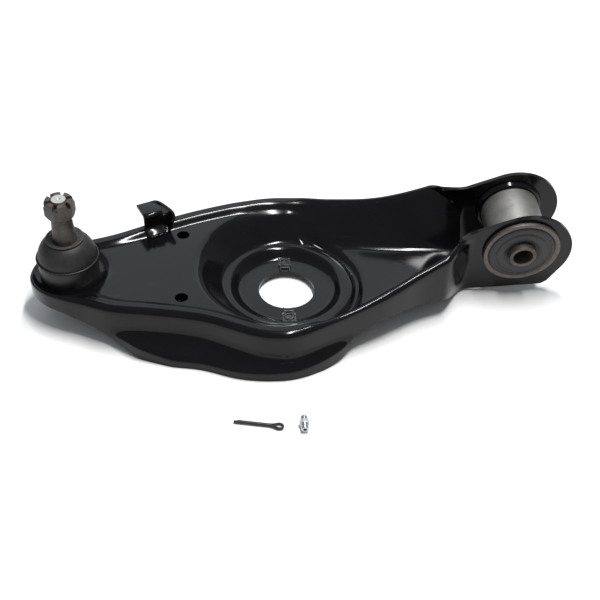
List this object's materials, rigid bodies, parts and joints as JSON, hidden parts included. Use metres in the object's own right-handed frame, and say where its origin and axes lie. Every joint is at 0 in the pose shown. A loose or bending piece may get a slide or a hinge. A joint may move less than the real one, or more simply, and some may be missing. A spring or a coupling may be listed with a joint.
{
  "type": "suspension control arm",
  "caption": "Pressed steel lower control arm with a coil-spring pocket, a pressed-in ball joint with castle nut, and a rubber pivot bushing between two ears.",
  "frame": {"origin": "centre of the pivot bushing's bore, half way along its inner sleeve", "axes": "+X from the ball joint towards the pivot, +Z along the spring seat's normal (up), +Y to the far side; the bushing's axis is tilted 7.5 degrees from +Y about X"},
  "size_m": [0.5318, 0.3007, 0.128],
  "materials": {
    "black_paint": "gloss black electrocoat",
    "bare_steel": "bare drawn steel, dull",
    "dark_phosphate": "dark brown phosphate",
    "black_rubber": "matt moulded rubber",
    "zinc_plate": "bright zinc plate",
    "black_oxide": "black oxide",
    "seat_polymer": "natural acetal",
    "spring_steel": "plain spring steel"
  },
  "bodies": {
    "arm": {"arm_stamping": "black_paint", "strut_doubler": "black_paint", "bump_bracket": "black_paint", "bracket_welds": "black_paint", "front_clip_nut": "black_oxide", "rear_clip_nut": "black_oxide", "bushing_outer_shell": "bare_steel", "bushing_rubber": "black_rubber", "ball_joint_housing": "dark_phosphate", "ball_joint_cover": "dark_phosphate", "upper_ball_seat": "seat_polymer", "lower_ball_seat": "seat_polymer", "preload_spring": "spring_steel", "boot_clamp_ring": "spring_steel", "dust_boot": "black_rubber"},
    "pivot_sleeve": {"bushing_inner_sleeve": "bare_steel"},
    "seal_ring": {"boot_upper_ring": "black_rubber"},
    "stud": {"ball_stud": "dark_phosphate"},
    "nut": {"castle_nut": "dark_phosphate"},
    "split_pin": {"cotter_pin": "black_oxide"},
    "fitting": {"grease_fitting": "zinc_plate", "grease_check_spring": "spring_steel"},
    "check_ball": {"grease_check_ball": "bare_steel"}
  },
  "joints": [
    {"name": "pivot_twist", "type": "hinge", "parent": "arm", "child": "pivot_sleeve", "pos_m": [0, 0, 0], "axis": [0, 0.9914, 0.1305], "range_deg": [-25, 25], "stiffness_Nm_per_rad": 20},
    {"name": "stud_swing", "type": "hinge", "parent": "arm", "child": "seal_ring", "pos_m": [-0.4425, -0.03, -0.018], "axis": [0, 1, 0], "range_deg": [-20, 20], "deforming": ["dust_boot"]},
    {"name": "stud_spin", "type": "hinge", "parent": "seal_ring", "child": "stud", "pos_m": [-0.4425, -0.03, -0.018], "axis": [0, 0, 1], "continuous": true},
    {"name": "castle_nut_off", "type": "slide", "parent": "stud", "child": "nut", "axis": [0, 0, 1], "range_m": [0, 0.024]},
    {"name": "cotter_pin_lift", "type": "slide", "parent": "arm", "child": "split_pin", "axis": [0, 0, 1], "range_m": [0, 0.04]},
    {"name": "grease_fitting_lift", "type": "slide", "parent": "arm", "child": "fitting", "axis": [0, 0, 1], "range_m": [0, 0.04]},
    {"name": "check_ball_press", "type": "slide", "parent": "fitting", "child": "check_ball", "axis": [0, -1, 0], "range_m": [0, 0.0008], "stiffness_N_per_m": 500, "deforming": ["grease_check_spring"]}
  ]
}
